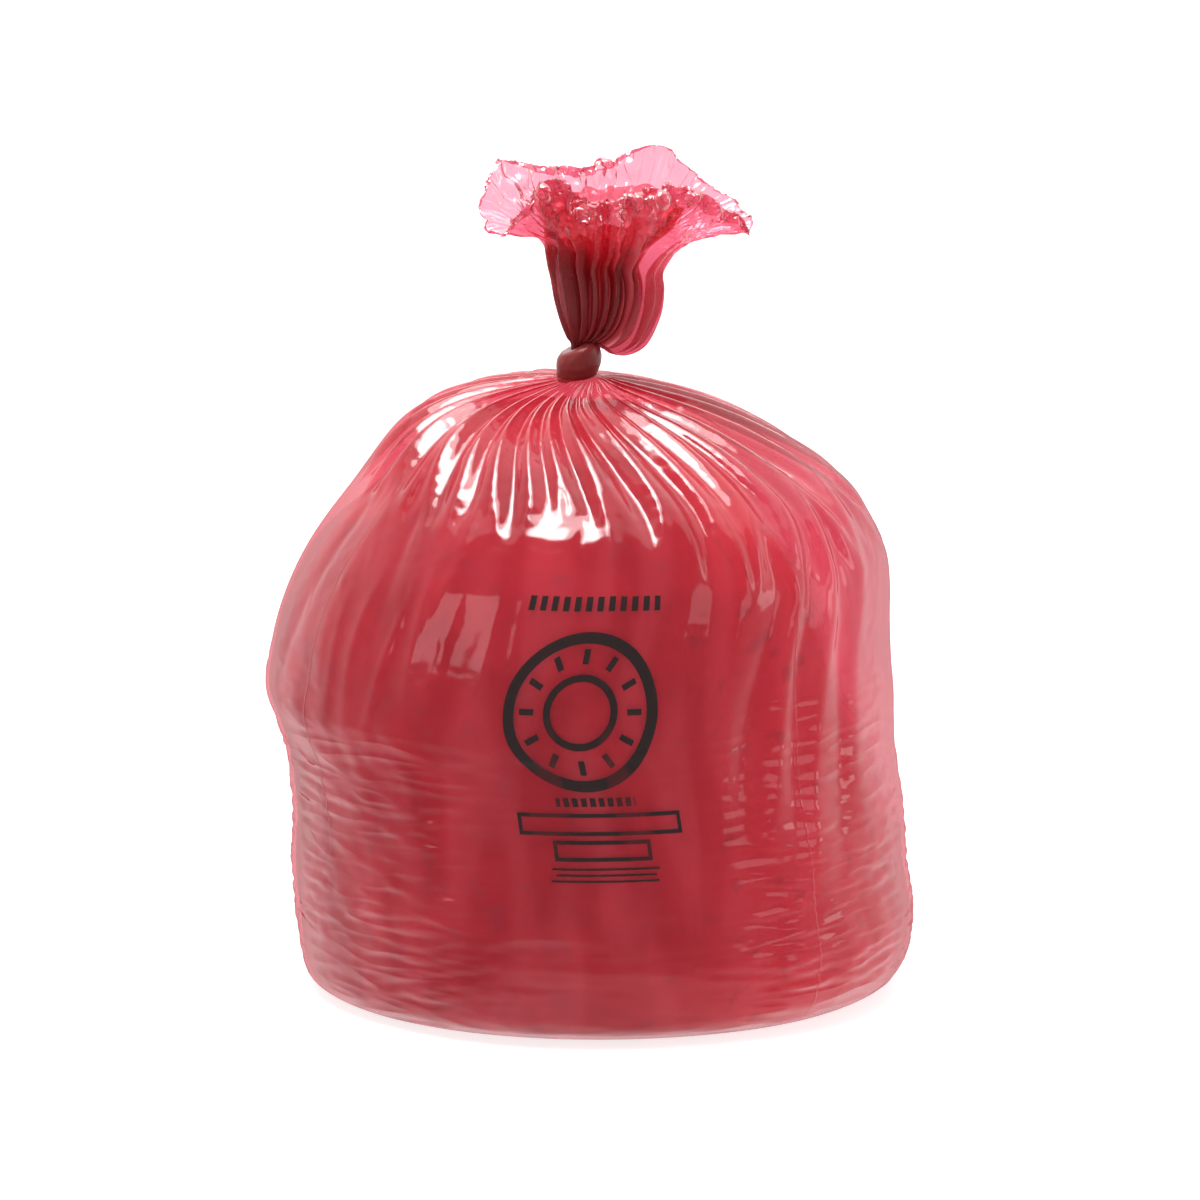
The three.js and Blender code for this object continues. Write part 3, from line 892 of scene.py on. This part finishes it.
# it lies against the inside of the film: the lowest film nearby, less a small gap
inside = ((Q - B) * nrm).sum(-1)
for _ in range(4):
    inside = np.minimum(inside, np.minimum(np.roll(inside, 1, 1), np.roll(inside, -1, 1)))
    inside[1:-1] = np.minimum(inside[1:-1], np.minimum(inside[:-2], inside[2:]))
for _ in range(3):
    inside = (np.roll(inside, 1, 1) + np.roll(inside, -1, 1) + 2 * inside) / 4
    inside[1:-1] = (inside[:-2] + inside[2:] + 2 * inside[1:-1]) / 4
i_row = np.rint(np.interp(CS, s, np.arange(len(s)))).astype(int)
i_col = np.rint(np.interp(wrap(CP), phi, np.arange(len(phi)))).astype(int)
lump = np.clip(2.2 - inside[i_row, i_col], -4, 14) + 12 * smooth(330, 400, CB[..., 2])
lump = np.where(CS < 0, 4.0, lump)
CB = CB - cn * lump[..., None] * np.where(CS < 0, 0.2, 1)[..., None]
top_r = np.linspace(1, 0.0, 12)[1:]
c0 = CB[-1].mean(0)
rows = [c0 + (CB[-1] - c0) * k + np.array([0, 0, 14 * (1 - k * k)]) for k in top_r]
CB = np.concatenate([CB, np.stack(rows)])
thin = np.concatenate([air] + [air[-1:] * t for t in top_r])
core = grid_mesh("waste_core", CB * MM, closed_low=True, attributes={"thin": thin})
core.data.materials.append(waste_mat)

for ob in (body, mouth, plies, knot, core):
    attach(ob, "root")
for ob in (body, mouth, plies, knot):
    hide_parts("film_bag")
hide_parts("waste_contents")

# ---------------------------------------------------------------- floor and light
bpy.ops.mesh.primitive_plane_add(size=40, location=(0, 0, -0.0005))
floor = bpy.context.object
floor.name = "floor"
k = Nodes("floor_white")
coord = k.new("TexCoord")
tone = k.colour(k.noise(coord.outputs["Object"], 3.0, 2), (0.60, 0.60, 0.60, 1), (0.63, 0.63, 0.63, 1))
glow = k.new("Emission", Color=(1, 1, 1, 1), Strength=0.78).outputs[0]
k.tree.links.new(k.new("AddShader").outputs[0], k.out.inputs[0])
both = k.out.inputs[0].links[0].from_node
k.tree.links.new(k.principled(tone, 0.9, 0.0, 0.1, 0.0), both.inputs[0])
k.tree.links.new(glow, both.inputs[1])
floor.data.materials.append(k.material)
floor.visible_glossy = False

world = bpy.data.worlds.new("studio")
bpy.context.scene.world = world
world.use_nodes = True
wt = world.node_tree
bg = wt.nodes["Background"]
coord = wt.nodes.new("ShaderNodeTexCoord")
sep = wt.nodes.new("ShaderNodeSeparateXYZ")
wt.links.new(coord.outputs["Generated"], sep.inputs[0])
ramp = wt.nodes.new("ShaderNodeMapRange")
ramp.interpolation_type = "SMOOTHSTEP"
for k, v in (("From Min", -0.5), ("From Max", 0.6), ("To Min", 0.17), ("To Max", 1.02)):
    ramp.inputs[k].default_value = v
wt.links.new(sep.outputs["Y"], ramp.inputs["Value"])
# the floor lies below: what the film mirrors of it is this soft light from under the horizon
low = wt.nodes.new("ShaderNodeMapRange")
low.interpolation_type = "SMOOTHSTEP"
for k, v in (("From Min", -0.20), ("From Max", -0.72), ("To Min", 0.0), ("To Max", 0.40)):
    low.inputs[k].default_value = v
wt.links.new(sep.outputs["Z"], low.inputs["Value"])
total = wt.nodes.new("ShaderNodeMath")
total.operation = "ADD"
wt.links.new(ramp.outputs["Result"], total.inputs[0])
wt.links.new(low.outputs["Result"], total.inputs[1])
wt.links.new(total.outputs[0], bg.inputs[1])
bg.inputs[0].default_value = (1, 1, 1, 1)


def area(name, loc, aim, size, power, size_y=None):
    d = bpy.data.lights.new(name, "AREA")
    d.shape = "RECTANGLE"
    d.size, d.size_y = size, size_y or size
    d.energy = power
    o = bpy.data.objects.new(name, d)
    bpy.context.scene.collection.objects.link(o)
    o.location = loc
    o.rotation_mode = "QUATERNION"
    o.rotation_quaternion = (Vector(aim) - Vector(loc)).to_track_quat("-Z", "Y")
    return o


area("ceiling", (0, 1.2, 3.2), (0, 1.1, 0), 5.0, 25 * math.pi * 0.85)
area("back_wash", (0, 4.6, 3.0), (0, 3.2, 0), 4.5, 4.5 * 2 * math.pi * 2.2, 2.0)
area("soft_top", (-0.50, -0.48, 2.1), (0, 0, 0.35), 0.78, 0.78 * 0.56 * math.pi * 12, 0.56)
area("soft_top_wide", (-0.45, -0.30, 2.3), (0, 0, 0.35), 1.7, 1.7 * 1.2 * math.pi * 5.6, 1.2).data.shape = "ELLIPSE"
area("window_left", (-2.05, -1.65, 1.30), (0, 0, 0.25), 0.95, 0.95 * 1.45 * math.pi * 1.5, 1.45)
area("panel_right", (2.3, -1.3, 0.9), (0, 0, 0.25), 1.1, 1.1 * 1.3 * math.pi * 1.0, 1.3)
area("strip_right", (1.7, -0.1, 0.7), (0, 0, 0.3), 0.35, 0.35 * math.pi * 1.8, 1.0)

scene = bpy.context.scene
scene.view_settings.view_transform = "Standard"
scene.view_settings.look = "None"
scene.cycles.transparent_max_bounces = 12
scene.cycles.max_bounces = 4
scene.cycles.diffuse_bounces = 2
scene.cycles.glossy_bounces = 2
scene.cycles.caustics_reflective = False
scene.cycles.caustics_refractive = False
